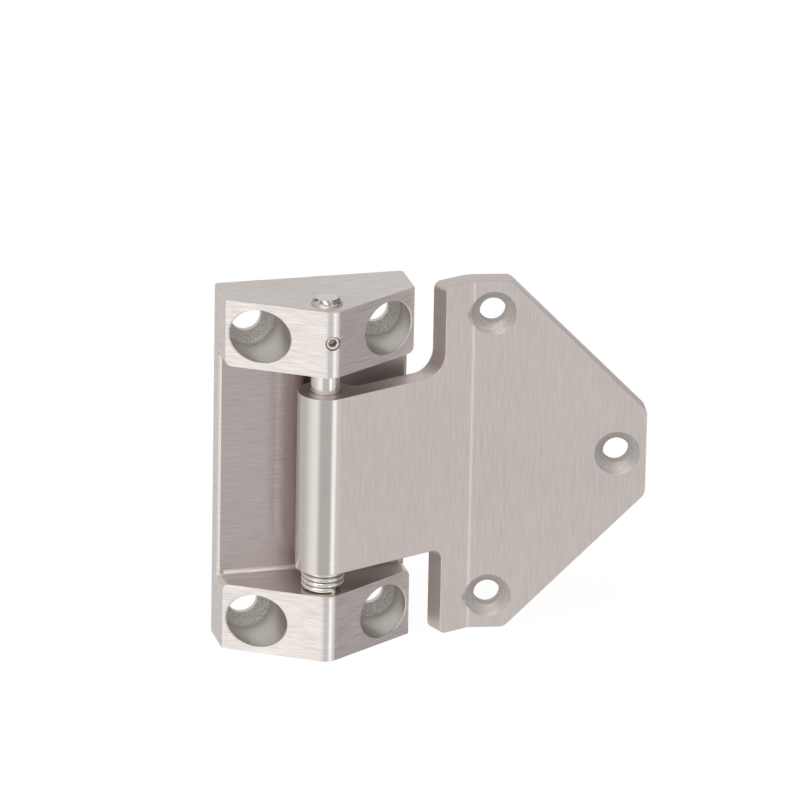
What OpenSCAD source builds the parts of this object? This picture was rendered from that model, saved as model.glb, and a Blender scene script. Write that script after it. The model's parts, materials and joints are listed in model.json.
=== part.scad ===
// Spring hinge: a machined bracket with two lugs, and a cranked leaf turning on a pin between them.
// Millimetres. X runs across the bracket, Y into the surface that it is screwed to, Z up.
// The bracket's back face lies in Y = 0 and its foot in Z = 0.

/* [Bracket] */
// Height of the bracket
bracket_h = 100; // [90:0.5:140]
// Width of the bracket
bracket_w = 52; // [50:0.2:70]
// Height of each lug
lug_h = 18.75; // [17.5:0.25:24]
// Depth of the lugs' square sides
side_d = 13.5; // [12:0.5:18]
// Depth of the lugs at their narrow front
front_d = 28.8; // [28:0.2:36]
// Width of the narrow front
front_w = 2.2; // [1:0.1:3]
// Radius that softens both sides of the narrow front
front_r = 0.9; // [0.3:0.1:1.6]
// Thickness of the plate that joins the lugs
plate_t = 7; // [5:0.5:8]
// Chamfer on the plate's upright edges
plate_chamfer = 0.8; // [0.3:0.1:1.5]
// Fillet where the plate meets each lug
root_r = 1.5; // [0.5:0.1:2]
// Radius of the lugs' side corners that face each other
lug_corner_r = 1.8; // [0.8:0.1:2.4]
// Radius of the upright edges at the back
back_edge_r = 1.2; // [0.4:0.1:2]

/* [Bracket screw holes] */
// Distance between the two columns of holes
hole_pitch_x = 35; // [33:0.5:35.5]
// Distance between the two rows of holes
hole_pitch_z = 81.5; // [72:0.5:121]
// Diameter of the through holes
hole_d = 8.4; // [6.5:0.1:9]
// Length of the straight hole behind its conical seat
hole_land = 1.7; // [1:0.1:2.5]
// Diameter of the wide bore in front of each seat
pocket_d = 14.6; // [12:0.1:15]

/* [Pin] */
// Diameter of the hinge pin
pin_d = 8; // [6:0.1:8.4]
// Distance of the pin's axis from the back face
pin_back = 21; // [20.5:0.1:22]
// Height that the pin stands above the upper lug
pin_proud = 1.6; // [0.5:0.1:3]
// Depth that the pin's foot sits inside the lower lug
pin_foot_inset = 0.6; // [0.2:0.1:2]
// Chamfer on both ends of the pin
pin_chamfer = 1; // [0.4:0.1:1.5]
// Clearance all round the pin in the lugs and in the knuckle
pin_clearance = 0.05; // [0.02:0.01:0.1]
// Chamfer at the mouths of the pin's bores
bore_chamfer = 0.3; // [0.1:0.1:0.6]

/* [Pin screw] */
// Thread diameter of the screw that locks the pin
grub_d = 4; // [3:0.5:5]
// Distance of the screw's axis below the lug's top
grub_drop = 8.9; // [7:0.1:11]
// Depth of the screw's face below the lug's front
grub_inset = 0.5; // [0.2:0.1:0.8]
// Width across the flats of its hexagon socket
grub_socket_af = 2; // [1.5:0.1:2.5]
// Depth of its hexagon socket
grub_socket_depth = 1.8; // [1:0.1:2]
// Clearance all round the screw in its hole
grub_clearance = 0.03; // [0.02:0.01:0.05]

/* [Leaf] */
// Height of the leaf's plate
leaf_h = 100; // [90:0.5:140]
// Thickness of the leaf
leaf_t = 6; // [5:0.1:6.4]
// Outer diameter of the knuckle
knuckle_d = 15; // [14.6:0.1:16]
// Height of the knuckle and of the arm behind it
knuckle_h = 50.3; // [40:0.1:54]
// Angle of the bend between arm and plate
bend_angle = 30; // [27:0.5:32]
// Angle that the leaf stands open, from lying flush with the bracket's back
rest_open = 8.7; // [0:0.1:90]
// Width of the plate's strip between the bend and the notches
lobe_w = 9.2; // [8:0.1:9.6]
// Fillet of the notch above the arm
upper_notch_r = 6; // [2:0.5:8]
// Fillet of the notch below the arm
lower_notch_r = 3; // [2:0.5:8]
// Radius of the lobes' corners
lobe_corner_r = 2; // [0.5:0.5:4]
// Radius inside the bend, on the front
bend_inner_r = 2.5; // [1:0.5:8]
// Radius outside the bend, on the back
bend_outer_r = 6; // [2:0.5:12]
// Width of the plate from the bend to its short right edge
plate_w = 47.6; // [46:0.1:60]
// Length of the short right edge
tip_h = 24; // [20:0.5:34]
// Distance from the bend to where the clipped corners start
clip_start = 9.9; // [8:0.1:14]
// Radius that softens the clipped corners
clip_r = 3; // [1:0.5:5]
// Fillet between the arm's back and the knuckle
arm_root_r = 3; // [1:0.5:4]

/* [Leaf screw holes] */
// Distance from the bend to the column of two holes
leaf_hole_x = 5.4; // [4.5:0.1:7]
// Distance between the two holes of that column
leaf_pitch_z = 81.5; // [70:0.5:82]
// Distance from that column to the third hole
third_hole_dx = 34.3; // [28:0.5:35]
// Diameter of the holes
leaf_hole_d = 7.2; // [5:0.1:8]
// Diameter of their countersinks at the face
leaf_sink_d = 12.4; // [10:0.1:13]

/* [Spring] */
// Diameter of the spring's wire
wire_d = 1.4; // [1:0.05:1.45]
// Outer diameter of the coil
coil_d = 11.7; // [11.4:0.1:11.8]
// Turns of the coil
coil_turns = 17; // [10:1:22]
// Gap between neighbouring turns
coil_gap = 0.07; // [0.03:0.01:0.12]
// Clearance all round the coil inside the knuckle
coil_clearance = 0.3; // [0.15:0.05:0.35]
// Direction of the lower leg, turned from straight in front towards the left side
lower_leg_angle = -20; // [-60:1:60]
// Length of each leg beyond the coil
leg_len = 4.5; // [3:0.5:6]
// Clearance all round each leg in its hole
leg_clearance = 0.08; // [0.05:0.01:0.1]

/* [Hidden] */
$fn = 96;
// Overshoot of cutting tools
over = 1;
half_w = bracket_w / 2;
// Levels of the knuckle, which stands midway between the lugs
lug_gap = bracket_h - 2 * lug_h;
knuckle_z0 = lug_h + (lug_gap - knuckle_h) / 2;
knuckle_z1 = knuckle_z0 + knuckle_h;
mid_z = bracket_h / 2;
// Radii of the pin's bores and of the knuckle
bore_r = pin_d / 2 + pin_clearance;
knuckle_r = knuckle_d / 2;
// The arm is as long as it takes for the closed leaf to lie flush with the bracket's back
arm_len = (pin_back - leaf_t + knuckle_r * cos(bend_angle)) / sin(bend_angle);
arm_angle = bend_angle - rest_open;
leaf_z0 = (bracket_h - leaf_h) / 2;
// Screw that locks the pin
grub_z = bracket_h - grub_drop;
grub_tip = pin_back + pin_d / 2 + grub_clearance;
// Coil round the pin, standing on the lower lug and holding up the knuckle
coil_r = (coil_d - wire_d) / 2;
coil_pitch = wire_d + coil_gap;
coil_z0 = lug_h + wire_d / 2 + coil_gap;
coil_z1 = coil_z0 + coil_turns * coil_pitch;
spring_bore_r = coil_d / 2 + coil_clearance;
spring_bore_z = coil_z1 + wire_d / 2 + coil_gap;
leg_hole_d = wire_d + 2 * leg_clearance;
// Facets round the wire, and steps in each turn of the coil
WIRE_SIDES = 6;
TURN_STEPS = 16;

// Helpers

// Unit vector in the direction of v
function unit(v) = v / norm(v);

// The piece between a corner and the arc of radius r that softens it, reaching over past both edges.
// u and v are the directions of the two edges, leading away from the corner.
module corner_piece(corner, u, v, r) {
    a = unit(u);
    b = unit(v);
    half = acos(a * b) / 2;
    run = r / tan(half);
    centre = corner + unit(a + b) * r / sin(half);
    reach = 1 + over / r;
    difference() {
        polygon([for (p = [corner, corner + a * run, centre, corner + b * run]) centre + (p - centre) * reach]);
        translate(centre) circle(r);
    }
}

// Extrudes a drawing in X and Z along Y, from y0 towards the front by length
module extrude_front(y0, length) {
    translate([0, y0, 0]) rotate([90, 0, 0]) linear_extrude(length) children();
}

// Cylinder along Z with both ends chamfered
module chamfered_rod(d, z0, z1, chamfer) {
    r = d / 2;
    rotate_extrude() polygon([
        [0, z0], [r - chamfer, z0], [r, z0 + chamfer],
        [r, z1 - chamfer], [r - chamfer, z1], [0, z1]
    ]);
}

// Bore along Z from z0 to z1 with a chamfer cut into each mouth
module chamfered_bore(r, z0, z1, chamfer) {
    rotate_extrude() polygon([
        [0, z0 - over], [r + chamfer + over, z0 - over], [r + chamfer, z0], [r, z0 + chamfer],
        [r, z1 - chamfer], [r + chamfer, z1], [r + chamfer + over, z1 + over], [0, z1 + over]
    ]);
}

// Places its children on the pin's axis
module at_pin() {
    translate([0, -pin_back, 0]) children();
}

// Bracket

// Outline of a lug seen from above, with its narrow front
module lug_plan() {
    difference() {
        polygon([
            [-half_w, 0], [-half_w, -side_d], [-front_w / 2, -front_d],
            [front_w / 2, -front_d], [half_w, -side_d], [half_w, 0]
        ]);
        for (side = [-1, 1]) {
            front = [side * front_w / 2, -front_d];
            corner_piece(front, [side * half_w, -side_d] - front, [-side, 0], front_r);
        }
    }
}

// One lug standing on level z0. Its side corners on level inner_z are rounded; inward leads from there into it.
module lug(z0, inner_z, inward) {
    difference() {
        translate([0, 0, z0]) linear_extrude(lug_h) lug_plan();
        extrude_front(over, front_d + over) for (side = [-1, 1])
            corner_piece([side * half_w, inner_z], [-side, 0], [0, inward], lug_corner_r);
    }
}

// Plate that joins the lugs, its upright front edges chamfered
module joining_plate() {
    linear_extrude(bracket_h) polygon([
        [-half_w, 0], [-half_w, plate_chamfer - plate_t], [plate_chamfer - half_w, -plate_t],
        [half_w - plate_chamfer, -plate_t], [half_w, plate_chamfer - plate_t], [half_w, 0]
    ]);
}

// What the upright edges at the back lose by their rounding
module back_edges() {
    translate([0, 0, -over]) linear_extrude(bracket_h + 2 * over) for (side = [-1, 1])
        corner_piece([side * half_w, 0], [-side, 0], [0, -1], back_edge_r);
}

// Fillets in the two inside corners between plate and lugs
module root_fillets() {
    length = bracket_w - 2 * lug_corner_r;
    for (level = [[lug_h, 1], [bracket_h - lug_h, -1]])
        translate([-length / 2, 0, 0]) rotate([90, 0, 90]) linear_extrude(length)
            corner_piece([-plate_t, level[0]], [-1, 0], [0, level[1]], root_r);
}

// Through hole, conical seat and wide pocket, drilled from the back face towards the front
module bracket_screw_hole() {
    seat_depth = hole_land + (pocket_d - hole_d) / 2;
    rotate([90, 0, 0]) rotate_extrude() polygon([
        [0, -over], [hole_d / 2, -over], [hole_d / 2, hole_land],
        [pocket_d / 2, seat_depth], [pocket_d / 2, front_d], [0, front_d]
    ]);
}

// Hole of the screw that locks the pin, from the lug's front into the pin's bore
module grub_hole() {
    translate([0, -pin_back, grub_z]) rotate([90, 0, 0]) cylinder(d = grub_d, h = front_d);
}

// Hole for one leg of the spring, turned by angle from straight in front of the pin
module leg_hole(angle, z0, z1) {
    at_pin() rotate(-angle) translate([0, -coil_r, z0]) cylinder(d = leg_hole_d, h = z1 - z0);
}

module bracket() {
    color("silver") difference() {
        union() {
            lug(0, lug_h, -1);
            lug(bracket_h - lug_h, bracket_h - lug_h, 1);
            joining_plate();
            root_fillets();
        }
        back_edges();
        for (x = [-1, 1], z = [-1, 1])
            translate([x * hole_pitch_x / 2, 0, mid_z + z * hole_pitch_z / 2]) bracket_screw_hole();
        at_pin() chamfered_bore(bore_r, 0, lug_h, bore_chamfer);
        at_pin() chamfered_bore(bore_r, bracket_h - lug_h, bracket_h, bore_chamfer);
        grub_hole();
        leg_hole(lower_leg_angle, lug_h - leg_len - leg_clearance, lug_h + over);
    }
}

// Pin and its screw

module hinge_pin() {
    color("gainsboro") at_pin()
        chamfered_rod(pin_d, pin_foot_inset, bracket_h + pin_proud, pin_chamfer);
}

module pin_screw() {
    face_y = front_d - grub_inset;
    length = face_y - grub_tip;
    color("lightgray") translate([0, -face_y, grub_z]) rotate([-90, 0, 0]) difference() {
        cylinder(d = grub_d - 2 * grub_clearance, h = length);
        translate([0, 0, -over]) rotate(30)
            cylinder(d = grub_socket_af / cos(30), h = grub_socket_depth + over, $fn = 6);
    }
}

// Leaf, drawn with its arm along X and the pin at the origin

// Direction of the plate, and of its back, beyond the bend
plate_dir = [cos(bend_angle), -sin(bend_angle)];
plate_back = [sin(bend_angle), cos(bend_angle)];
// The bend on the front face and on the back face
bend_front = [arm_len, -knuckle_r];
bend_back = bend_front + [leaf_t * tan(bend_angle / 2), leaf_t];
lobe_x = arm_len - lobe_w;

// Outline of the leaf seen from above
module leaf_plan() {
    arm_back = leaf_t - knuckle_r;
    tip_front = bend_front + plate_dir * plate_w;
    root_x = sqrt(pow(knuckle_r + arm_root_r, 2) - pow(arm_back + arm_root_r, 2));
    difference() {
        union() {
            circle(knuckle_r);
            polygon([[0, -knuckle_r], bend_front, bend_back, [0, arm_back]]);
            polygon([bend_front, tip_front, tip_front + plate_back * leaf_t, bend_back]);
            corner_piece(bend_front, [-1, 0], plate_dir, bend_inner_r);
            difference() {
                polygon([[0, arm_back], [root_x, arm_back], [root_x, arm_back + arm_root_r], [0, 0]]);
                translate([root_x, arm_back + arm_root_r]) circle(arm_root_r);
            }
        }
        corner_piece(bend_back, [-1, 0], plate_dir, bend_outer_r);
    }
}

// Moves a drawing from the plate's own frame, whose X starts at the bend, into the leaf's
module on_plate() {
    translate([bend_front[0], bend_front[1], 0]) rotate(-bend_angle) children();
}

// Outline of the plate seen from the front, with its clipped corners
module plate_face() {
    far = plate_w + arm_len + knuckle_d;
    z1 = leaf_z0 + leaf_h;
    tip_z0 = mid_z - tip_h / 2;
    tip_z1 = mid_z + tip_h / 2;
    clip = [plate_w - clip_start, z1 - tip_z1];
    difference() {
        polygon([
            [-far, leaf_z0], [clip_start, leaf_z0], [plate_w, tip_z0],
            [plate_w, tip_z1], [clip_start, z1], [-far, z1]
        ]);
        corner_piece([clip_start, z1], [-1, 0], [clip[0], -clip[1]], clip_r);
        corner_piece([plate_w, tip_z1], [-clip[0], clip[1]], [0, -1], clip_r);
        corner_piece([plate_w, tip_z0], [-clip[0], -clip[1]], [0, 1], clip_r);
        corner_piece([clip_start, leaf_z0], [-1, 0], [clip[0], clip[1]], clip_r);
    }
}

// Notch beyond the arm's edge at level edge_z; out is 1 above the arm and -1 below it
module notch(edge_z, end_z, out, r) {
    start = -knuckle_d;
    depth = abs(end_z - edge_z) + over;
    extrude_front(knuckle_d, 2 * knuckle_d) {
        difference() {
            translate([start, min(edge_z, edge_z + out * depth)]) square([lobe_x - start, depth]);
            corner_piece([lobe_x, edge_z], [-1, 0], [0, out], r);
        }
        corner_piece([lobe_x, end_z], [1, 0], [0, -out], lobe_corner_r);
    }
}

// Countersunk hole through the plate at x from the bend
module leaf_screw_hole(x, z) {
    sink_depth = (leaf_sink_d - leaf_hole_d) / 2;
    on_plate() translate([x, 0, z]) rotate([-90, 0, 0]) rotate_extrude() polygon([
        [0, -over], [leaf_sink_d / 2 + over, -over], [leaf_hole_d / 2, sink_depth],
        [leaf_hole_d / 2, leaf_t + over], [0, leaf_t + over]
    ]);
}

// Bores of the knuckle: the pin's, and the wider one from below that takes the spring
module knuckle_bores() {
    chamfered_bore(bore_r, knuckle_z0, knuckle_z1, bore_chamfer);
    translate([0, 0, knuckle_z0 - over]) cylinder(r = spring_bore_r, h = spring_bore_z - knuckle_z0 + over);
}

module leaf() {
    color("silver") difference() {
        at_pin() rotate(arm_angle) difference() {
            intersection() {
                translate([0, 0, leaf_z0]) linear_extrude(leaf_h) leaf_plan();
                on_plate() extrude_front(arm_len, 2 * (arm_len + plate_w)) plate_face();
            }
            notch(knuckle_z1, leaf_z0 + leaf_h, 1, upper_notch_r);
            notch(knuckle_z0, leaf_z0, -1, lower_notch_r);
            for (z = [-1, 1]) leaf_screw_hole(leaf_hole_x, mid_z + z * leaf_pitch_z / 2);
            leaf_screw_hole(leaf_hole_x + third_hole_dx, mid_z);
            knuckle_bores();
        }
        leg_hole(upper_leg_angle, spring_bore_z - over, spring_bore_z + leg_len + leg_clearance);
    }
}

// Spring

// The coil ends straight above its start, where its upper leg rises
upper_leg_angle = lower_leg_angle + 360 * coil_turns;

// Points along the wire: down the lower leg, round the coil, up the upper leg
function coil_point(t) = let (a = -90 - lower_leg_angle - 360 * t)
    [coil_r * cos(a), coil_r * sin(a), coil_z0 + coil_pitch * t];
COIL_STEPS = coil_turns * TURN_STEPS;
wire_path = concat(
    [coil_point(0) - [0, 0, leg_len + wire_d / 2 + coil_gap - leg_clearance]],
    [for (i = [0 : COIL_STEPS]) coil_point(i / TURN_STEPS)],
    [coil_point(coil_turns) + [0, 0, leg_len + wire_d / 2 + coil_gap - leg_clearance]]
);

// A ring of points round point i of the wire, square to its run
function wire_ring(i) =
    let (
        last = len(wire_path) - 1,
        run = unit(wire_path[min(i + 1, last)] - wire_path[max(i - 1, 0)]),
        outward = unit([wire_path[i][0], wire_path[i][1], 0]),
        side = unit(cross(run, outward)),
        other = cross(side, run)
    )
    [for (k = [0 : WIRE_SIDES - 1])
        wire_path[i] + wire_d / 2 * (cos(360 * k / WIRE_SIDES) * other + sin(360 * k / WIRE_SIDES) * side)];

module torsion_spring() {
    n = len(wire_path);
    points = [for (i = [0 : n - 1]) each wire_ring(i)];
    walls = [for (i = [0 : n - 2], k = [0 : WIRE_SIDES - 1])
        let (a = i * WIRE_SIDES + k, b = i * WIRE_SIDES + (k + 1) % WIRE_SIDES)
        each [[a, a + WIRE_SIDES, b], [b, a + WIRE_SIDES, b + WIRE_SIDES]]];
    foot = [for (k = [0 : WIRE_SIDES - 1]) k];
    head = [for (k = [WIRE_SIDES - 1 : -1 : 0]) (n - 1) * WIRE_SIDES + k];
    color("whitesmoke") at_pin() polyhedron(points, concat(walls, [foot, head]));
}

bracket();
leaf();
hinge_pin();
pin_screw();
torsion_spring();
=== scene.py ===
"""Looks of a cabinet spring hinge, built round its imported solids.

Metres. X runs across the bracket towards the leaf, Y into the surface behind it, Z up along the pin.
"""

import json
import math

import bmesh
import bpy
from bpy.props import FloatProperty, FloatVectorProperty, IntProperty, PointerProperty
from mathutils import Matrix, Vector

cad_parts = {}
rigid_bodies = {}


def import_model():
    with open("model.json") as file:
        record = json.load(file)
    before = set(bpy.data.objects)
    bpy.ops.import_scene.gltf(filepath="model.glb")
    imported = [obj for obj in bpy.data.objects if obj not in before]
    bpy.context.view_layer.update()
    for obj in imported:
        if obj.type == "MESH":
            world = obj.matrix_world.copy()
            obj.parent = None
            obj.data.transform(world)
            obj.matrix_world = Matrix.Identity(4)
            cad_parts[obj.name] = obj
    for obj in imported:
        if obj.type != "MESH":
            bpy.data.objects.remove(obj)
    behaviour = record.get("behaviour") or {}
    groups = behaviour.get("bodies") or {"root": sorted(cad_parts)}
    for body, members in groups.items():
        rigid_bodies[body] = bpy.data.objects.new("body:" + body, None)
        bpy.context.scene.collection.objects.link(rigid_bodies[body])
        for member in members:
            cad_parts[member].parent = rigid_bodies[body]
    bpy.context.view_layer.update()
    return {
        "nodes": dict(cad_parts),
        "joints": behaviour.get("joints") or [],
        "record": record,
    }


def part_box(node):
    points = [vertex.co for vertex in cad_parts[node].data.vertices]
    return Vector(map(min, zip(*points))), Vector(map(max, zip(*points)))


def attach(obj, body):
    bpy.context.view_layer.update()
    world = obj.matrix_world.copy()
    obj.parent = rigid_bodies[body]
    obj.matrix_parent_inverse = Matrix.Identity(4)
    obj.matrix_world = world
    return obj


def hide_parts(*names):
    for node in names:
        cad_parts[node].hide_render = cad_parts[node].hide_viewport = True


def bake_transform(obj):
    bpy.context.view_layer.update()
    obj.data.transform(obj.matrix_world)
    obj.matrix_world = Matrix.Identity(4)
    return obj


bl_info = {
    "name": "Cabinet spring hinge",
    "version": (1, 0, 0),
    "blender": (4, 5, 0),
    "location": "3D View > Sidebar > Hinge",
    "description": "Dresses the hinge's solids in brushed and turned steel",
    "category": "Object",
}

for leftover in list(bpy.data.objects):
    bpy.data.objects.remove(leftover)

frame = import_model()

MM = 0.001
FULL_TURN = 2 * math.pi

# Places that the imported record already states
MOUNTS = {mount["name"]: mount for mount in frame["record"]["mounts"]}
PIN_AXIS = Vector(frame["joints"][0]["pos_m"])
SCREW_PATTERN = MOUNTS["bracket_screws"]
SCREW_CENTRE = Vector(SCREW_PATTERN["pos_m"])
SCREW_STEP_X = SCREW_PATTERN["dims"]["spacing_x_mm"] * MM / 2
SCREW_STEP_Z = SCREW_PATTERN["dims"]["spacing_y_mm"] * MM / 2
LEAF_HOLES = [mount for name, mount in MOUNTS.items() if name.startswith("leaf_screw")]

BRACKET_LOW, BRACKET_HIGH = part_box("bracket")
LEAF_LOW, LEAF_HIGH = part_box("leaf")
PIN_LOW, PIN_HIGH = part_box("hinge_pin")
SCREW_LOW, SCREW_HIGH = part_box("pin_screw")
SPRING_LOW, SPRING_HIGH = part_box("torsion_spring")


def length(name, description, millimetres):
    return FloatProperty(
        name=name, description=description, default=millimetres * MM, min=0,
        precision=5, subtype="DISTANCE", unit="LENGTH",
    )


def steel(name, description, colour):
    return FloatVectorProperty(
        name=name, description=description, default=colour, size=3, min=0, max=1, subtype="COLOR",
    )


def share(name, description, value):
    return FloatProperty(name=name, description=description, default=value, min=0, max=1, subtype="FACTOR")


class HingeSizes(bpy.types.PropertyGroup):
    edge_round: length("Edge round", "Radius that breaks the outer edges of bracket and leaf", 0.28)
    rim_round: length("Rim round", "Radius that breaks the rims of the wide bores", 0.4)
    pocket_d: length("Wide bore", "Diameter of the wide bores in front of the screw seats", 14.6)
    pin_rim: length("Pin rim", "Chamfer round the pin's hole on top", 0.35)
    front_w: length("Narrow front", "Width of the lugs' front before it is crowned", 2.2)
    lug_h: length("Lug", "Height of each lug", 18.75)
    knuckle_d: length("Knuckle", "Outer diameter of the leaf's knuckle", 15)
    leaf_sink_d: length("Countersink", "Diameter of the leaf's countersinks at the face", 12.4)
    pin_chamfer: length("Pin chamfer", "Chamfer on both ends of the pin", 1)
    pin_round: length("Pin round", "Radius that breaks the pin's edges", 0.18)
    socket_flats: length("Socket", "Width across the flats of the pin screw's socket", 2)
    socket_depth: length("Socket depth", "Depth of the pin screw's socket", 2.2)
    thread_pitch: length("Thread pitch", "Pitch of the pin screw's thread", 0.7)
    thread_depth: length("Thread depth", "Depth of the pin screw's thread", 0.3)
    wire_d: length("Wire", "Diameter of the spring's wire", 1.4)
    coil_gap: length("Coil gap", "Gap between neighbouring turns of the spring", 0.07)
    leg_bend: length("Leg bend", "Radius of the bends between the coil and its legs", 0.8)
    coil_turns: IntProperty(name="Turns", description="Turns of the spring's coil", default=17, min=2, max=40)
    leg_angle: FloatProperty(
        name="Leg angle", description="Direction of the lower leg, turned left from straight in front",
        default=math.radians(-20), subtype="ANGLE", unit="ROTATION",
    )


class HingeFinishes(bpy.types.PropertyGroup):
    bracket: steel("Bracket", "Satin steel of the bracket", (0.775, 0.72, 0.685))
    leaf: steel("Leaf", "Satin steel of the leaf", (0.705, 0.64, 0.608))
    knuckle: steel("Knuckle", "Turned steel of the knuckle", (0.66, 0.615, 0.58))
    plate: steel("Joining plate", "Ground steel between the lugs", (0.6, 0.54, 0.525))
    front: steel("Narrow front", "Polished steel on the lugs' narrow front", (0.83, 0.79, 0.765))
    bored: steel("Bored walls", "Bored steel inside the wide bores", (0.74, 0.71, 0.66))
    seat: steel("Seats", "Coarse steel of the conical seats", (0.93, 0.87, 0.82))
    sunk: steel("Countersinks", "Steel of the leaf's countersinks", (0.6, 0.565, 0.54))
    bright: steel("Pin", "Bright steel of the pin, and a little darker of its screw", (0.75, 0.72, 0.69))
    pin_end: steel("Pin end", "Turned steel of the pin's flat ends", (0.84, 0.8, 0.77))
    # The chamfers' darker colour is painted shade that dims their reflections
    pin_edge: steel("Pin edge", "Turned steel of the pin's chamfers, darkened as painted shade", (0.43, 0.41, 0.385))
    # The socket's darker colour is painted shade in the recess
    socket: steel("Socket", "Steel inside the pin screw's socket, darkened as painted shade", (0.6, 0.49, 0.44))
    wire: steel("Wire", "Drawn steel of the spring", (0.76, 0.73, 0.69))
    grain: share("Grain", "Depth of the brushed lines", 0.5)
    floor: steel("Floor", "Pale floor under the hinge", (0.9, 0.9, 0.9))


# Shader arithmetic


class Signal:
    """A shader socket that takes part in ordinary arithmetic."""

    def __init__(self, recipe, socket):
        self.recipe = recipe
        self.socket = socket

    def _math(self, operation, *values):
        return self.recipe.node("ShaderNodeMath", {"operation": operation}, *values)[0]

    def __add__(self, other):
        return self._math("ADD", self, other)

    def __radd__(self, other):
        return self._math("ADD", other, self)

    def __sub__(self, other):
        return self._math("SUBTRACT", self, other)

    def __rsub__(self, other):
        return self._math("SUBTRACT", other, self)

    def __mul__(self, other):
        return self._math("MULTIPLY", self, other)

    def __rmul__(self, other):
        return self._math("MULTIPLY", other, self)

    def __abs__(self):
        return self._math("ABSOLUTE", self)

    def __neg__(self):
        return self._math("MULTIPLY", self, -1)


# A face counts as level once its normal's Z passes from the first of these to the second
LEVEL_TILT = (0.6, 0.8)


class Recipe:
    """A node tree that is written as expressions."""

    def __init__(self, tree):
        self.tree = tree
        tree.nodes.clear()

    def set(self, socket, value):
        if isinstance(value, Signal):
            self.tree.links.new(value.socket, socket)
        elif isinstance(value, (tuple, list)) and socket.type == "RGBA" and len(value) == 3:
            socket.default_value = (*value, 1)
        else:
            socket.default_value = value

    def node(self, kind, settings=None, *values, **named):
        """Adds a node of any kind and returns its outputs. Settings come first, then socket values."""
        node = self.tree.nodes.new(kind)
        for key, value in (settings or {}).items():
            setattr(node, key, value)
        for index, value in enumerate(values):
            self.set(node.inputs[index], value)
        for name, value in named.items():
            self.set(node.inputs[name.replace("_", " ")], value)
        return [Signal(self, socket) for socket in node.outputs]

    def mix(self, factor, a, b):
        """Mixes two colours."""
        node = self.tree.nodes.new("ShaderNodeMix")
        node.data_type = "RGBA"
        self.set(node.inputs["Factor"], factor)
        self.set(node.inputs[6], a)
        self.set(node.inputs[7], b)
        return Signal(self, node.outputs[2])

    def scaled(self, vector, scales):
        """A vector with each of its axes multiplied by its own number."""
        return self.node("ShaderNodeVectorMath", {"operation": "MULTIPLY"}, vector, scales)[0]

    def axes(self, vector):
        """The X, Y and Z of a vector."""
        return self.node("ShaderNodeSeparateXYZ", None, vector)

    def noise(self, vector, detail=2, roughness=0.5):
        return self.node(
            "ShaderNodeTexNoise", None, Vector=vector, Scale=1, Detail=detail, Roughness=roughness,
        )[0]

    def streaks(self, scales, detail=2, roughness=0.5):
        """Noise over the piece, with its own scale along each axis."""
        return self.noise(self.scaled(self.position(), scales), detail, roughness)

    def grain(self, scale, detail=2, roughness=0.5):
        """Noise over the piece that is alike in all directions."""
        return self.streaks((scale, scale, scale), detail, roughness)

    def root(self, value):
        return self.node("ShaderNodeMath", {"operation": "SQRT"}, value)[0]

    def step(self, value, low, high):
        """Rises softly from 0 at low to 1 at high."""
        return self.node(
            "ShaderNodeMapRange", {"interpolation_type": "SMOOTHSTEP"}, value, low, high, 0, 1,
        )[0]

    def band(self, value, low, high, soft):
        """1 between low and high, with soft shoulders."""
        return self.step(value, low - soft, low + soft) * (1 - self.step(value, high - soft, high + soft))

    def position(self):
        """Place on the piece, in metres, which turns with the piece."""
        return self.node("ShaderNodeTexCoord")[3]

    def flatness(self):
        """1 on faces that look up or down, 0 on upright ones."""
        up = abs(self.axes(self.node("ShaderNodeNewGeometry")[1])[2])
        return self.step(up, *LEVEL_TILT)


# Scales of the patterns, as features for each metre
FINE_LINES = 6000
BROAD_LINES = 2800
ALONG_LINES = 160
CLOUDS = 28
SCREW_GRAIN = 3600
SEAT_GRAIN = 2600
BORE_RINGS = (60, 4200, 60)
BORE_GRAIN = 1500
TURNED_ALONG = 40
CHAMFER_REFLECTION_STREAKS = 900
SINK_RINGS = (90, 3800, 90)
SINK_GRAIN = 2400
WIRE_MARKS = (900, 900, 2600)

# Shares of what a pattern is mixed from
FINE_SHARE = 0.7
BROAD_SHARE = 0.3
BORE_RING_SHARE = 0.6
SINK_RING_SHARE = 0.5
CLOUD_SHARE = 0.08

# How far the tone swings to either side of the steel's colour, and the strength of its bumps
TONE_SWING = 0.25
BUMP_STRENGTH = 0.25


def brushed(recipe, upright_scales):
    """Fine and broad lines, that lie as upright_scales says on upright faces and along X on level ones."""
    flat = recipe.flatness()

    def lines_of(lines):
        upright = recipe.streaks(upright_scales(lines), detail=3, roughness=0.65)
        level = recipe.streaks((ALONG_LINES, lines, ALONG_LINES), detail=3, roughness=0.65)
        return upright * (1 - flat) + level * flat

    return lines_of(FINE_LINES) * FINE_SHARE + lines_of(BROAD_LINES) * BROAD_SHARE


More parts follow.
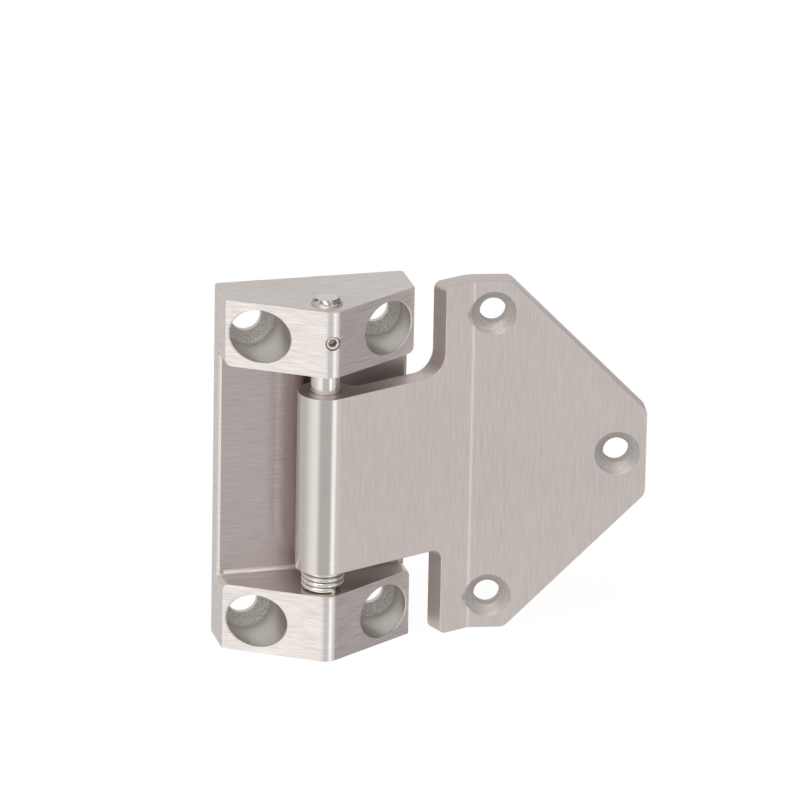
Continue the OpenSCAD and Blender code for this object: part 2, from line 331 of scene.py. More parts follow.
def metal(
    name, colour, lines, roughness,
    relief=1.0, contrast=0.2, uneven=0.16, spread=0.0, turned=0.0, depth=0.01 * MM,
):
    """A steel finish, with a pattern that lines draws from the recipe.

    relief and contrast say how far the pattern shows in the colour, and uneven how far in the roughness.
    spread stretches the reflections, in the direction that turned gives. depth is the height of the bumps.
    """
    material = bpy.data.materials.new(name)
    material.use_nodes = True
    recipe = Recipe(material.node_tree)
    pattern = lines(recipe)
    tone = (pattern - 0.5) * relief + (recipe.grain(CLOUDS) - 0.5) * CLOUD_SHARE
    darker = tuple(max(0.0, c * (1 - contrast)) for c in colour)
    lighter = tuple(min(1.0, c * (1 + contrast)) for c in colour)
    surface = recipe.mix(recipe.step(tone, -TONE_SWING, TONE_SWING), darker, lighter)
    bump = recipe.node(
        "ShaderNodeBump", None, Strength=BUMP_STRENGTH, Distance=depth, Height=pattern,
    )[0]
    shader = recipe.node(
        "ShaderNodeBsdfPrincipled", None, Base_Color=surface, Metallic=1.0,
        Roughness=roughness + (pattern - 0.5) * uneven, Normal=bump,
        Anisotropic=spread, Anisotropic_Rotation=turned,
    )[0]
    recipe.node("ShaderNodeOutputMaterial", None, shader)
    return material


def across_lines(recipe):
    """Brushed across: lines along X, and level on every upright face."""
    return brushed(recipe, lambda lines: (ALONG_LINES, ALONG_LINES, lines))


def upright_lines(recipe):
    """Brushed upright: lines along Z, and along X on level faces."""
    return brushed(recipe, lambda lines: (lines, lines, ALONG_LINES))


def coarse_grain(recipe):
    """Grain of unpolished steel."""
    return recipe.grain(SCREW_GRAIN, detail=3, roughness=0.8)


# Between these two distances from the wide bore's wall the seats darken, by this much of the pattern: painted
# shade in the corner, which dips the bumps there too
CORNER_SHADE_START = 0.55 * MM
CORNER_SHADE_END = 0.2 * MM
CORNER_SHADE_DEPTH = 0.16


def seat_grain_and_corner_shade(recipe):
    """Grain of a rough milled cone, darkened towards the corner of its bore by painted shade that also dips
    its bumps.
    """
    x, _, z = recipe.axes(recipe.position())
    across = abs(x - SCREW_CENTRE.x) - SCREW_STEP_X
    along = abs(z - SCREW_CENTRE.z) - SCREW_STEP_Z
    radius = recipe.root(across * across + along * along)
    wall = bpy.context.scene.hinge_sizes.pocket_d / 2
    # Painted shade: the seat's colour darkens near the wide bore's wall
    corner = recipe.step(radius, wall - CORNER_SHADE_START, wall - CORNER_SHADE_END)
    return recipe.grain(SEAT_GRAIN, detail=3, roughness=0.75) - corner * CORNER_SHADE_DEPTH


def bored_rings(recipe):
    """Faint rings that a boring tool leaves, spaced along Y."""
    rings = recipe.streaks(BORE_RINGS, roughness=0.6)
    grain = recipe.grain(BORE_GRAIN, roughness=0.6)
    return rings * BORE_RING_SHARE + grain * (1 - BORE_RING_SHARE)


def turned_rings(recipe):
    """Faint rings of turning, spaced along Z on the sides and along the radius on the ends."""
    place = recipe.node(
        "ShaderNodeVectorMath", {"operation": "SUBTRACT"}, recipe.position(), tuple(PIN_AXIS),
    )[0]
    x, y, _ = recipe.axes(place)
    radius = recipe.root(x * x + y * y)
    sides = recipe.noise(recipe.scaled(place, (TURNED_ALONG, TURNED_ALONG, FINE_LINES)))
    spot = recipe.node("ShaderNodeCombineXYZ", None, radius * FINE_LINES, 0.0, 0.0)[0]
    ends = recipe.noise(spot)
    flat = recipe.flatness()
    return sides * (1 - flat) + ends * flat


def painted_reflection_streaks(recipe):
    """Painted reflections: dark and bright streaks round the pin's chamfer."""
    x, y, _ = recipe.axes(recipe.position())
    spot = recipe.node("ShaderNodeCombineXYZ", None, x * CHAMFER_REFLECTION_STREAKS, y * CHAMFER_REFLECTION_STREAKS, 0.0)[0]
    return recipe.noise(spot, detail=1)


def sunk_rings(recipe):
    """Rings that a countersink leaves, spaced along Y."""
    rings = recipe.streaks(SINK_RINGS, roughness=0.7)
    grain = recipe.grain(SINK_GRAIN, roughness=0.7)
    return rings * SINK_RING_SHARE + grain * (1 - SINK_RING_SHARE)


def drawn_wire(recipe):
    """Faint marks of drawing."""
    return recipe.streaks(WIRE_MARKS, roughness=0.6)


# Mesh work

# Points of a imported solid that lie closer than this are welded
WELD = 0.001 * MM
# Faces that turn less than this are joined, and edges that turn more than this are broken
FLAT_DEGREES = 0.3
SHARP_DEGREES = 24
# Slack in telling which surface a face belongs to
SLACK = 0.12 * MM
# Slack in cutting a mesh along a plane
CUT_SLACK = 0.0001 * MM
# Radius of the small ring that closes the middle of a turned end
POLE_R = 0.05 * MM
# A rounded corner takes at most this share of each line beside it
SOFT_SHARE = 0.4


def link(mesh, name, body, replaced, materials, twist=None):
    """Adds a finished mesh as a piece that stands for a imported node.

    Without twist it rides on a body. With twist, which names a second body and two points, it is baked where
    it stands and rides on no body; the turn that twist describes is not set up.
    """
    for material in materials:
        mesh.materials.append(material)
    piece = bpy.data.objects.new(name, mesh)
    bpy.context.scene.collection.objects.link(piece)
    if twist:
        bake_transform(piece)
    else:
        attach(piece, body)
    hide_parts(replaced)
    return piece


def whole_faces(node_name):
    """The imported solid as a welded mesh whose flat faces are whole."""
    bm = bmesh.new()
    bm.from_mesh(frame["nodes"][node_name].data)
    bmesh.ops.remove_doubles(bm, verts=bm.verts, dist=WELD)
    bmesh.ops.dissolve_limit(
        bm, angle_limit=math.radians(FLAT_DEGREES), verts=bm.verts, edges=bm.edges, delimit=set(),
    )
    bmesh.ops.recalc_face_normals(bm, faces=bm.faces)
    for face in bm.faces:
        face.material_index = 0
    return bm


def break_edges(bm, width, chosen, segments=2):
    """Rounds the chosen sharp edges."""
    edges = [edge for edge in bm.edges if edge.is_manifold and chosen(edge)]
    if not edges:
        raise RuntimeError("no edges to round")
    bmesh.ops.bevel(
        bm, geom=edges, offset=width, offset_type="OFFSET", segments=segments, profile=0.5,
        affect="EDGES", clamp_overlap=False, material=-1, loop_slide=False,
    )


def finish_mesh(bm, name, limits, sharp_degrees=32):
    """Turns the work into a smooth-shaded mesh that stays crisp at its corners and within its limits."""
    for face in bm.faces:
        face.smooth = True
    low, high = limits
    for vert in bm.verts:
        vert.co = Vector(min(max(v, a), b) for v, a, b in zip(vert.co, low, high))
    for edge in bm.edges:
        edge.smooth = not edge.is_manifold or edge.calc_face_angle(0) < math.radians(sharp_degrees)
    mesh = bpy.data.meshes.new(name)
    bm.to_mesh(mesh)
    bm.free()
    stored = mesh.attributes.get("custom_normal")
    if stored:
        mesh.attributes.remove(stored)
    return mesh


def weigh_normals(piece):
    """Keeps flat faces flat next to rounded edges."""
    modifier = piece.modifiers.new("flat faces", "WEIGHTED_NORMAL")
    modifier.keep_sharp = True
    modifier.weight = 100


def join_rings(bm, rows):
    """Joins rings of points into a surface that is closed at both ends."""
    steps = len(rows[0])
    for low, high in zip(rows, rows[1:]):
        for k in range(steps):
            bm.faces.new((low[k], low[(k + 1) % steps], high[(k + 1) % steps], high[k]))
    bm.faces.new(list(reversed(rows[0])))
    bm.faces.new(rows[-1])
    bmesh.ops.recalc_face_normals(bm, faces=bm.faces)


def lathe(rings, steps, spot):
    """Surface through rings of points. spot gives a point of a ring at an angle."""
    bm = bmesh.new()
    join_rings(bm, [
        [bm.verts.new(spot(ring, FULL_TURN * k / steps)) for k in range(steps)] for ring in rings
    ])
    return bm


def curve(start, corner, end, steps):
    """Points of a curve that leaves start towards corner and comes from there into end."""
    return [
        start * (1 - t) ** 2 + corner * 2 * t * (1 - t) + end * t ** 2
        for t in (k / steps for k in range(steps + 1))
    ]


def softened(profile, radius, steps=4):
    """The profile with each of its inner corners rounded."""
    points = [profile[0]]
    for before, corner, after in zip(profile, profile[1:], profile[2:]):
        corner = Vector(corner)
        back = Vector(before) - corner
        on = Vector(after) - corner
        reach = min(radius, back.length * SOFT_SHARE, on.length * SOFT_SHARE)
        start = corner + back.normalized() * reach
        points += curve(start, corner, corner + on.normalized() * reach, steps)
    points.append(profile[-1])
    return [tuple(point) for point in points]


def tube(path, radius, sides):
    """A round wire along a path, with its rings carried along without twist."""
    bm = bmesh.new()
    rows = []
    normal = Vector((1, 0, 0))
    for i, point in enumerate(path):
        run = (path[min(i + 1, len(path) - 1)] - path[max(i - 1, 0)]).normalized()
        normal = (normal - run * normal.dot(run)).normalized()
        side = run.cross(normal)
        rows.append([
            bm.verts.new(point + radius * (math.cos(a) * normal + math.sin(a) * side))
            for a in (FULL_TURN * k / sides for k in range(sides))
        ])
    join_rings(bm, rows)
    return bm


def from_axis(point, centre):
    """Distance of a point from an upright axis through centre."""
    return math.hypot(point.x - centre.x, point.y - centre.y)


def from_line(point, start, direction):
    """Distance of a point from a line."""
    offset = point - start
    return (offset - direction * offset.dot(direction)).length


def turns_sharply(edge):
    return edge.calc_face_angle(0) > math.radians(SHARP_DEGREES)


def furthest(edge, distance):
    """The larger of the distances of an edge's two ends."""
    return max(distance(vert.co) for vert in edge.verts)


def cut_across(bm, place, normal, behind):
    """Cuts the faces that lie in front of a depth along a plane."""
    faces = [face for face in bm.faces if face.calc_center_median().y < behind]
    parts = dict.fromkeys(part for face in faces for part in (face, *face.edges, *face.verts))
    bmesh.ops.bisect_plane(bm, geom=list(parts), dist=CUT_SLACK, plane_co=place, plane_no=normal)


# Columns on each side of the crown, and how far behind the front the cuts end
CROWN_COLUMNS = 6
CROWN_DEPTH = 1.2 * MM
# Points no further than this behind the uncut front are moved
CROWN_SLACK = 0.06 * MM
# Part of the slanted faces' normal along X
SLANT_TILT = (0.3, 0.8)


def crown_front(bm, width):
    """Cuts the lugs' narrow flat front down to a soft ridge that runs out into the slanted faces."""
    lead, half = BRACKET_LOW.y, width / 2
    low, high = SLANT_TILT
    slanted = max(
        (face for face in bm.faces if low < face.normal.x < high), key=lambda face: face.calc_area(),
    )
    slope = math.atan2(slanted.normal.x, -slanted.normal.y)
    radius = half / math.tan(slope / 2)
    reach = radius * math.sin(slope)
    behind = lead + CROWN_DEPTH
    cut_across(bm, (0, behind, 0), (0, 1, 0), 0)
    for k in range(-CROWN_COLUMNS, CROWN_COLUMNS + 1):
        cut_across(bm, (reach * k / CROWN_COLUMNS, 0, 0), (1, 0, 0), behind)
    for vert in bm.verts:
        x = abs(vert.co.x)
        flat = lead + max(0, x - half) * math.tan(slope)
        if x < reach and vert.co.y < flat + CROWN_SLACK:
            vert.co.y = lead + radius - math.sqrt(radius ** 2 - x ** 2)
    bm.normal_update()


# Pieces


def nearest_screw(point):
    """Distance of a point from the nearest bracket screw's axis."""
    x = abs(point.x - SCREW_CENTRE.x) - SCREW_STEP_X
    z = abs(point.z - SCREW_CENTRE.z) - SCREW_STEP_Z
    return math.hypot(x, z)


def from_pin(point):
    """Distance of a point from the pin's axis."""
    return from_axis(point, PIN_AXIS)


# A facet of a bore, a seat or a countersink has fewer corners than this
FACET_CORNERS = 12
# Part of a face's normal along Y: between these two on a seat, and less than this on a bore's wall
SEAT_TILT = (0.4, 0.9)
BORE_TILT = 0.3
# Part of a face's normal along an axis: at least this when it faces that way squarely, and at least this when
# it nearly does
SQUARE_TILT = 0.99
NEAR_TILT = 0.9
# An upright face's normal has less than this along Z
UPRIGHT_TILT = 0.1
# The narrow front lies no further behind the bracket's foremost point than this
FRONT_REACH = 1 * MM
# Edges nearer to the pin's axis than this belong to its hole
PIN_HOLE_REACH = 6 * MM
# Rims of the wide bores lie further ahead of the back than this
BORE_RIM_AHEAD = 9 * MM
# Room round the pin screw in which the edges stay as they are
SCREW_ROOM = 0.3 * MM
# The small faces that end the root fillets: how far inside the bracket's sides they lie, and their
# largest area
ROOT_END_SPAN = (1 * MM, 3 * MM)
ROOT_END_AREA = 3 * MM * MM
# Order of the bracket's finishes after the first
BORED, SEAT, PLATE, FRONT = range(1, 5)


def sort_bracket_faces(bm, sizes):
    """Gives each face of the bracket the number of its finish."""
    for face in bm.faces:
        middle = face.calc_center_median()
        if nearest_screw(middle) < sizes.pocket_d / 2 + SLACK and len(face.verts) < FACET_CORNERS:
            tilt = abs(face.normal.y)
            if SEAT_TILT[0] < tilt < SEAT_TILT[1]:
                face.material_index = SEAT
            elif tilt < BORE_TILT:
                face.material_index = BORED
        between = BRACKET_LOW.z + sizes.lug_h < middle.z < BRACKET_HIGH.z - sizes.lug_h
        if face.normal.y < -SQUARE_TILT and between and abs(face.normal.z) < UPRIGHT_TILT:
            face.material_index = PLATE
        if face.normal.y < -NEAR_TILT and middle.y < BRACKET_LOW.y + FRONT_REACH:
            face.material_index = FRONT


def break_bracket_edges(bm, sizes):
    """Rounds the rims of the wide bores and the outer edges, and chamfers the pin's hole on top."""
    bore_reach = sizes.pocket_d / 2 + SLACK
    screw_spot = (SCREW_LOW + SCREW_HIGH) / 2
    screw_r = (SCREW_HIGH.x - SCREW_LOW.x) / 2 + SCREW_ROOM
    ahead = Vector((0, 1, 0))

    def ends_root(face):
        inside = BRACKET_HIGH.x - abs(face.calc_center_median().x)
        small = abs(face.normal.x) > SQUARE_TILT and face.calc_area() < ROOT_END_AREA
        return small and ROOT_END_SPAN[0] < inside < ROOT_END_SPAN[1]

    root_ends = {edge for face in bm.faces if ends_root(face) for edge in face.edges}

    def on_bore(edge):
        return furthest(edge, nearest_screw) < bore_reach

    def on_pin_hole(edge):
        return furthest(edge, from_pin) < PIN_HOLE_REACH

    def on_screw_hole(edge):
        return furthest(edge, lambda point: from_line(point, screw_spot, ahead)) < screw_r

    def is_outer(edge):
        held_back = on_bore(edge) or on_pin_hole(edge) or on_screw_hole(edge) or edge in root_ends
        return turns_sharply(edge) and not held_back

    def is_rim(edge):
        front = min(-vert.co.y for vert in edge.verts) > BORE_RIM_AHEAD
        return turns_sharply(edge) and on_bore(edge) and front

    def is_pin_rim(edge):
        top = min(vert.co.z for vert in edge.verts) > BRACKET_HIGH.z - SLACK
        return on_pin_hole(edge) and top and turns_sharply(edge)

    break_edges(bm, sizes.rim_round, is_rim)
    break_edges(bm, sizes.pin_rim, is_pin_rim)
    break_edges(bm, sizes.edge_round, is_outer)


def bracket_metals(finishes):
    """The bracket's finishes, in the order of their numbers."""
    grain = 2 * finishes.grain
    satin = metal(
        "satin steel, brushed across", finishes.bracket, across_lines, roughness=0.36,
        relief=grain, contrast=0.26, spread=0.35, turned=0.25,
    )
    bored = metal("bored steel", finishes.bored, bored_rings, roughness=0.34, relief=0.5)
    seat = metal(
        "coarse seat", finishes.seat, seat_grain_and_corner_shade, roughness=0.5,
        relief=2.2, contrast=0.32, depth=0.07 * MM,
    )
    plate = metal(
        "ground plate", finishes.plate, across_lines, roughness=0.25,
        relief=grain, contrast=0.15, uneven=0.06, spread=1.0, turned=0.25,
    )
    front = metal(
        "polished front", finishes.front, across_lines, roughness=0.32,
        relief=0.4 * grain, uneven=0.05, spread=0.35, turned=0.25,
    )
    return [satin, bored, seat, plate, front]


class HINGE_OT_dress_bracket(bpy.types.Operator):
    """Rounds the bracket's edges and gives each of its surfaces its finish"""

    bl_idname = "hinge.dress_bracket"
    bl_label = "Dress the bracket"

    def execute(self, context):
        sizes, finishes = context.scene.hinge_sizes, context.scene.hinge_finishes
        bm = whole_faces("bracket")
        crown_front(bm, sizes.front_w)
        sort_bracket_faces(bm, sizes)
        break_bracket_edges(bm, sizes)
        mesh = finish_mesh(bm, "bracket_block", (BRACKET_LOW, BRACKET_HIGH))
        metals = bracket_metals(finishes)
        piece = link(mesh, "bracket_block", "bracket_body", "bracket", metals)
        weigh_normals(piece)
        return {"FINISHED"}


# Edges of the knuckle's bores lie further inside its outer wall than this
KNUCKLE_WALL = 1 * MM
# Room round a countersink in which the edges stay as they are
SINK_ROOM = 2.5 * MM
# Order of the leaf's finishes after the first
KNUCKLE, SUNK = 1, 2


class HINGE_OT_dress_leaf(bpy.types.Operator):
    """Rounds the leaf's edges and gives plate, knuckle and countersinks their finishes"""

    bl_idname = "hinge.dress_leaf"
    bl_label = "Dress the leaf"

    def execute(self, context):
        sizes, finishes = context.scene.hinge_sizes, context.scene.hinge_finishes
        knuckle_r = sizes.knuckle_d / 2
        sink_r = sizes.leaf_sink_d / 2
        bm = whole_faces("leaf")

        def from_hole(point):
            return min(from_line(point, Vector(hole["pos_m"]), Vector(hole["axis"])) for hole in LEAF_HOLES)

        for face in bm.faces:
            middle = face.calc_center_median()
            if from_hole(middle) < sink_r + SLACK and len(face.verts) < FACET_CORNERS:
                face.material_index = SUNK
            elif abs(from_pin(middle) - knuckle_r) < SLACK and abs(face.normal.z) < UPRIGHT_TILT:
                face.material_index = KNUCKLE

        def is_outer(edge):
            inside = furthest(edge, from_pin) < knuckle_r - KNUCKLE_WALL
            rim = furthest(edge, from_hole) < sink_r + SINK_ROOM
            return turns_sharply(edge) and not inside and not rim

        break_edges(bm, sizes.edge_round, is_outer)
        mesh = finish_mesh(bm, "leaf_plate", (LEAF_LOW, LEAF_HIGH))
        satin = metal(
            "satin steel, brushed upright", finishes.leaf, upright_lines, roughness=0.4,
            relief=1.2 * finishes.grain, spread=0.5,
        )
        turned = metal(
            "turned knuckle", finishes.knuckle, turned_rings, roughness=0.22,
            relief=0.15, uneven=0.08, spread=0.3, turned=0.25,
        )
        sunk = metal(
            "countersunk steel", finishes.sunk, sunk_rings, roughness=0.66,
            relief=1.2, depth=0.03 * MM,
        )
        piece = link(mesh, "leaf_plate", "leaf_body", "leaf", [satin, turned, sunk])
        weigh_normals(piece)
        return {"FINISHED"}


# Facets round the pin
PIN_FACETS = 96
# Order of the pin's finishes after the first
PIN_END, PIN_EDGE = 1, 2
# The normal of the pin's chamfers has more than this along Z
EDGE_TILT = 0.3


class HINGE_OT_turn_pin(bpy.types.Operator):
    """Turns the hinge pin, with softly broken chamfers"""

    bl_idname = "hinge.turn_pin"
    bl_label = "Turn the pin"

    def execute(self, context):
        sizes, finishes = context.scene.hinge_sizes, context.scene.hinge_finishes
        r = (PIN_HIGH.x - PIN_LOW.x) / 2
        low, high, chamfer = PIN_LOW.z, PIN_HIGH.z, sizes.pin_chamfer
        profile = softened(
            [(POLE_R, low), (r - chamfer, low), (r, low + chamfer),
             (r, high - chamfer), (r - chamfer, high), (POLE_R, high)],
            sizes.pin_round,
        )
        bm = lathe(profile, PIN_FACETS, lambda ring, a: (
            PIN_AXIS.x + ring[0] * math.cos(a), PIN_AXIS.y + ring[0] * math.sin(a), ring[1]))
        bm.normal_update()
        for face in bm.faces:
            tilt = abs(face.normal.z)
            if tilt > NEAR_TILT:
                face.material_index = PIN_END
            elif tilt > EDGE_TILT:
                face.material_index = PIN_EDGE
        mesh = finish_mesh(bm, "pin", (PIN_LOW, PIN_HIGH))
        bright = metal(
            "bright turned steel", finishes.bright, turned_rings, roughness=0.18,
            relief=0.3, uneven=0.06,
        )
        end = metal(
            "turned pin end", finishes.pin_end, turned_rings, roughness=0.25,
            relief=0.3, uneven=0.06,
        )
        # Painted shade and painted reflections: a darker steel with dark and bright streaks on the chamfers
        edge = metal(
            "pin chamfer with painted shade and reflections", finishes.pin_edge, painted_reflection_streaks, roughness=0.22,
            relief=2.5, contrast=0.6, uneven=0.06,
        )
        piece = link(mesh, "pin", "bracket_body", "hinge_pin", [bright, end, edge])
        weigh_normals(piece)
        return {"FINISHED"}


# Facets round the pin screw, a multiple of its socket's six
SCREW_FACETS = 72
# Chamfer round the screw's face, and the share of it that the side has already given up at its foot
SCREW_CHAMFER = 0.25 * MM
CHAMFER_FOOT = 0.4
# Chamfer at the socket's mouth, and depth of the cone at its foot
SOCKET_LEAD = 0.12 * MM
SOCKET_CONE = 0.3 * MM
# Faces nearer to the screw's axis than this share of the width across the flats belong to the socket
SOCKET_SHARE = 0.6
# Where a thread's root ends, its crest starts and ends and its next root starts, as shares of the pitch
THREAD_FORM = (0.15, 0.45, 0.55, 0.85)
# Number of the socket's finish
SOCKET = 1
# How much darker the screw's steel is than the pin's
SCREW_SHADE = 0.9


class HINGE_OT_cut_pin_screw(bpy.types.Operator):
    """Cuts the set screw with its thread and its hexagon socket"""

    bl_idname = "hinge.cut_pin_screw"
    bl_label = "Cut the pin screw"

    def execute(self, context):
        sizes, finishes = context.scene.hinge_sizes, context.scene.hinge_finishes
        r = (SCREW_HIGH.x - SCREW_LOW.x) / 2
        face_y, tip_y = SCREW_LOW.y, SCREW_HIGH.y
        z = (SCREW_LOW.z + SCREW_HIGH.z) / 2
        root = r - sizes.thread_depth
        pitch = sizes.thread_pitch
        half_flats = sizes.socket_flats / 2
        socket_floor = face_y + sizes.socket_depth
        rings = [("round", POLE_R, tip_y), ("round", root, tip_y)]
        turns = int((tip_y - face_y - SCREW_CHAMFER) / pitch)
        for k in range(turns):
            y = tip_y - k * pitch
            rings += [
                ("round", radius, y - pitch * part)
                for radius, part in zip((root, r, r, root), THREAD_FORM)
            ]
        rings += [
            ("round", r - SCREW_CHAMFER * CHAMFER_FOOT, face_y + SCREW_CHAMFER),
            ("round", r - SCREW_CHAMFER, face_y),
            ("hexagon", half_flats + SOCKET_LEAD, face_y),
            ("hexagon", half_flats, face_y + SOCKET_LEAD),
            ("hexagon", half_flats, socket_floor),
            ("round", POLE_R, socket_floor + SOCKET_CONE),
        ]

        def spot(ring, angle):
            kind, radius, y = ring
            if kind == "hexagon":
                sixth = FULL_TURN / 6
                radius = radius / math.cos((angle % sixth) - sixth / 2)
            return (SCREW_CENTRE.x + radius * math.cos(angle), y, z + radius * math.sin(angle))

        bm = lathe(rings, SCREW_FACETS, spot)
        for face in bm.faces:
            middle = face.calc_center_median()
            reach = math.hypot(middle.x - SCREW_CENTRE.x, middle.z - z)
            inside = face_y + SOCKET_LEAD < middle.y <= socket_floor + SOCKET_CONE
            if reach < sizes.socket_flats * SOCKET_SHARE and inside:
                face.material_index = SOCKET
        mesh = finish_mesh(bm, "set_screw", (SCREW_LOW, SCREW_HIGH), sharp_degrees=28)
        shaded = [c * SCREW_SHADE for c in finishes.bright]
        steel_screw = metal("dark set screw steel", shaded, coarse_grain, roughness=0.3, relief=0.6)
        # Painted shade: the socket gets a darker, browner steel than the screw
        socket = metal("socket steel with painted shade", finishes.socket, coarse_grain, roughness=0.45, relief=0.6)
        link(mesh, "set_screw", "bracket_body", "pin_screw", [steel_screw, socket])
        return {"FINISHED"}


# Facets round the spring's wire, steps in each turn of its coil and in each bend
WIRE_FACETS = 14
TURN_STEPS = 48
BEND_STEPS = 6


class HINGE_OT_wind_spring(bpy.types.Operator):
    """Winds the spring round the pin, from its leg in the lower lug to its leg in the turning knuckle"""

    bl_idname = "hinge.wind_spring"
    bl_label = "Wind the spring"

    def execute(self, context):
        sizes, finishes = context.scene.hinge_sizes, context.scene.hinge_finishes
        wire_r = sizes.wire_d / 2
        coil_r = (SPRING_HIGH.x - SPRING_LOW.x) / 2 - wire_r
        pitch = sizes.wire_d + sizes.coil_gap
        foot = BRACKET_LOW.z + sizes.lug_h + wire_r + sizes.coil_gap
        turns = sizes.coil_turns

        def on_coil(t):
            a = -math.pi / 2 - sizes.leg_angle - FULL_TURN * t
            return Vector((
                PIN_AXIS.x + coil_r * math.cos(a), PIN_AXIS.y + coil_r * math.sin(a),
                foot + pitch * t,
            ))

        def bend(corner, towards, onward):
            reach = sizes.leg_bend
            return curve(corner + towards * reach, corner, corner + onward * reach, BEND_STEPS)

        skip = sizes.leg_bend / (FULL_TURN * coil_r)
        first, last = on_coil(0), on_coil(turns)
        down, up = Vector((0, 0, -1)), Vector((0, 0, 1))
        path = [Vector((first.x, first.y, SPRING_LOW.z))]
        path += bend(first, down, (on_coil(skip) - first).normalized())
        count = turns * TURN_STEPS
        path += [on_coil(skip + (turns - 2 * skip) * k / count) for k in range(1, count)]
        path += bend(last, (on_coil(turns - skip) - last).normalized(), up)
        path.append(Vector((last.x, last.y, SPRING_HIGH.z)))
        bm = tube(path, wire_r, WIRE_FACETS)
        mesh = finish_mesh(bm, "spring_coil", (SPRING_LOW, SPRING_HIGH), sharp_degrees=60)
        wire = metal(
            "drawn spring wire", finishes.wire, drawn_wire, roughness=0.17, relief=0.4, uneven=0.05,
        )
        coil_top = foot + pitch * turns - sizes.wire_d
        twist = ("leaf_body", (PIN_AXIS.x, PIN_AXIS.y, foot), (PIN_AXIS.x, PIN_AXIS.y, coil_top))
        link(mesh, "spring_coil", "bracket_body", "torsion_spring", [wire], twist)
        return {"FINISHED"}


# Stage

# Camera, fitted to the edges and holes of the hinge. Angles are in degrees, the focal length in pixels, the
# scale in pixels for each millimetre, the sensor in millimetres, and the target and the clipping distances in
# metres
VIEW_AZIMUTH = -14.353
VIEW_HEIGHT = 20.622
VIEW_ROLL = 1.096
VIEW_LENS_PX = 8652
VIEW_SCALE = 3.730
VIEW_TARGET = Vector((22.062, -15, 68.551)) * MM
IMAGE_PX = 800
SENSOR = 36
CLIP = (0.05, 50)


def place_camera():
    azimuth, height, roll = (math.radians(v) for v in (VIEW_AZIMUTH, VIEW_HEIGHT, VIEW_ROLL))
    back = Vector((
        math.sin(azimuth) * math.cos(height), -math.cos(azimuth) * math.cos(height), math.sin(height),
    ))
    level = Vector((math.cos(azimuth), math.sin(azimuth), 0))
    upright = back.cross(level)
    right = level * math.cos(roll) + upright * math.sin(roll)
    up = upright * math.cos(roll) - level * math.sin(roll)
    lens = bpy.data.cameras.new("camera")
    lens.sensor_width = SENSOR
    lens.lens = VIEW_LENS_PX / IMAGE_PX * SENSOR
    lens.clip_start, lens.clip_end = CLIP
    lens.dof.use_dof = False
    camera = bpy.data.objects.new("camera", lens)
    bpy.context.scene.collection.objects.link(camera)
    turn = Matrix((right, up, back)).transposed()
    place = VIEW_TARGET + back * (VIEW_LENS_PX / VIEW_SCALE * MM)
    camera.matrix_world = Matrix.Translation(place) @ turn.to_4x4()
    bpy.context.scene.camera = camera


# What the steel sees round the hinge. Azimuths are in degrees from straight in front, positive to the right,
# each with its soft edge; heights are the Z of the direction.
LEFT_RISES = (-110, -52)
LEFT_FALLS = (-45, -29)
LEFT_THINS = (0.05, 0.4)
FACING = (-42, 36, 8)
CARD = (17, 34, 2)
CARD_HEIGHT = (-0.6, -0.1, 0.08)
ASIDE = (36, 67, 8)
RIGHT = (67, 135, 8)
ABOVE = (-0.15, 0.4)
# Light of the room, and what each part adds to it or takes away
ROOM_LIGHT = 0.7
LEFT_LIGHT = 0.5
LEFT_LOSS = 0.6
FACING_DIM = 0.05
FACING_ABOVE = 0.1
CARD_LIGHT = 0.9
ASIDE_LIGHT = 0.16
RIGHT_DIM = 0.34
RIGHT_TINT = (1, 0.94, 0.96)


def light_room():
    """White to the camera. The steel sees a pale room: bright left, a white card in front, dim right."""
    world = bpy.data.worlds.new("pale room")
    bpy.context.scene.world = world
    world.use_nodes = True
    recipe = Recipe(world.node_tree)
    x, y, z = recipe.axes(recipe.node("ShaderNodeTexCoord")[0])
    azimuth = recipe.node("ShaderNodeMath", {"operation": "ARCTAN2"}, x, -y)[0] * (180 / math.pi)
    left = recipe.step(azimuth, *LEFT_RISES) * (1 - recipe.step(azimuth, *LEFT_FALLS))
    left = left * (1 - recipe.step(z, *LEFT_THINS) * LEFT_LOSS)
    facing = recipe.band(azimuth, *FACING)
    card = recipe.band(azimuth, *CARD) * recipe.band(z, *CARD_HEIGHT)
    aside = recipe.band(azimuth, *ASIDE)
    right = recipe.band(azimuth, *RIGHT)
    above = recipe.step(z, *ABOVE)
    level = ROOM_LIGHT + left * LEFT_LIGHT - facing * (FACING_DIM - above * FACING_ABOVE)
    level = level + card * CARD_LIGHT + aside * ASIDE_LIGHT - right * RIGHT_DIM
    seen = recipe.node("ShaderNodeLightPath")[0]
    strength = seen + (1 - seen) * level
    tint = recipe.mix(right * (1 - seen), (1, 1, 1), RIGHT_TINT)
    background = recipe.node("ShaderNodeBackground", None, tint, strength)[0]
    recipe.node("ShaderNodeOutputWorld", None, background)


# The floor's own light lifts it to white. It has this share of what the camera sees, and the rest shows a
# faint shadow
FLOOR_GLOW = 1.04
FLOOR_SHARE = 0.9
# Half the floor's width in metres, and how far it lies below the hinge's foot
FLOOR_HALF = 6
FLOOR_DROP = 0.02 * MM


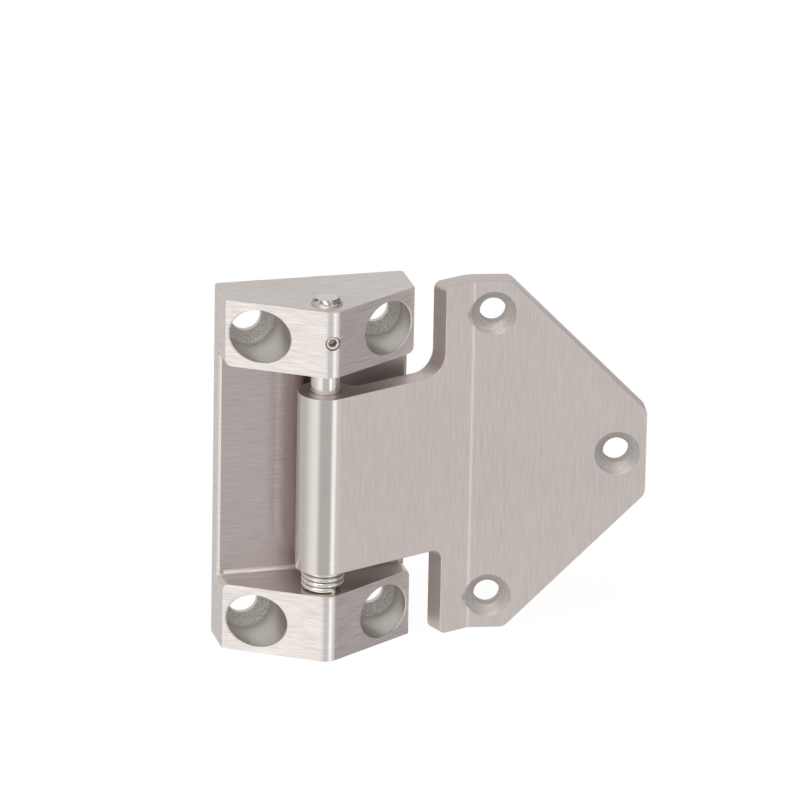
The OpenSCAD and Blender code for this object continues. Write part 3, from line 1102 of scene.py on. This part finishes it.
def lay_floor(colour):
    mesh = bpy.data.meshes.new("floor")
    bm = bmesh.new()
    bmesh.ops.create_grid(bm, x_segments=1, y_segments=1, size=FLOOR_HALF)
    bm.to_mesh(mesh)
    bm.free()
    floor = bpy.data.objects.new("floor", mesh)
    bpy.context.scene.collection.objects.link(floor)
    floor.location.z = BRACKET_LOW.z - FLOOR_DROP
    floor.visible_glossy = False
    material = bpy.data.materials.new("white floor")
    material.use_nodes = True
    recipe = Recipe(material.node_tree)
    seen = recipe.node("ShaderNodeLightPath")[0]
    matt = recipe.node("ShaderNodeBsdfDiffuse", None, colour)[0]
    glow = recipe.node("ShaderNodeEmission", None, (1, 1, 1), FLOOR_GLOW)[0]
    surface = recipe.node("ShaderNodeMixShader", None, seen * FLOOR_SHARE, matt, glow)[0]
    recipe.node("ShaderNodeOutputMaterial", None, surface)
    mesh.materials.append(material)


# Lamp over the hinge: its place, the point it looks at, its size in metres and its power in watts
LAMP_PLACE = (-0.4, -0.5, 1.1)
LAMP_AIM = (0.03, -0.01, 0.05)
LAMP_SIZE = 0.9
LAMP_POWER = 5


def hang_lamp():
    lamp = bpy.data.lights.new("overhead lamp", "AREA")
    lamp.shape = "SQUARE"
    lamp.size = LAMP_SIZE
    lamp.energy = LAMP_POWER
    item = bpy.data.objects.new("overhead lamp", lamp)
    bpy.context.scene.collection.objects.link(item)
    item.location = LAMP_PLACE
    item.rotation_euler = (Vector(LAMP_AIM) - Vector(LAMP_PLACE)).to_track_quat("-Z", "Y").to_euler()


class HINGE_OT_set_stage(bpy.types.Operator):
    """Places the camera, lights the room, lays the floor and hangs the lamp"""

    bl_idname = "hinge.set_stage"
    bl_label = "Set the stage"

    def execute(self, context):
        place_camera()
        light_room()
        lay_floor(tuple(context.scene.hinge_finishes.floor))
        hang_lamp()
        context.scene.view_settings.view_transform = "Standard"
        return {"FINISHED"}


class HINGE_PT_panel(bpy.types.Panel):
    """Lists the steps that dress the hinge"""

    bl_label = "Cabinet spring hinge"
    bl_idname = "HINGE_PT_panel"
    bl_space_type = "VIEW_3D"
    bl_region_type = "UI"
    bl_category = "Hinge"

    def draw(self, context):
        for step in STEPS:
            self.layout.operator(step.bl_idname)
        for group in (context.scene.hinge_sizes, context.scene.hinge_finishes):
            box = self.layout.box()
            for name in group.__annotations__:
                box.prop(group, name)


STEPS = (
    HINGE_OT_dress_bracket,
    HINGE_OT_dress_leaf,
    HINGE_OT_turn_pin,
    HINGE_OT_cut_pin_screw,
    HINGE_OT_wind_spring,
    HINGE_OT_set_stage,
)
CLASSES = (HingeSizes, HingeFinishes, *STEPS, HINGE_PT_panel)


def register():
    for item in CLASSES:
        bpy.utils.register_class(item)
    bpy.types.Scene.hinge_sizes = PointerProperty(type=HingeSizes)
    bpy.types.Scene.hinge_finishes = PointerProperty(type=HingeFinishes)


def unregister():
    del bpy.types.Scene.hinge_finishes
    del bpy.types.Scene.hinge_sizes
    for item in reversed(CLASSES):
        bpy.utils.unregister_class(item)


def main():
    register()
    bpy.ops.hinge.dress_bracket()
    bpy.ops.hinge.dress_leaf()
    bpy.ops.hinge.turn_pin()
    bpy.ops.hinge.cut_pin_screw()
    bpy.ops.hinge.wind_spring()
    bpy.ops.hinge.set_stage()


if __name__ == "__main__":
    main()
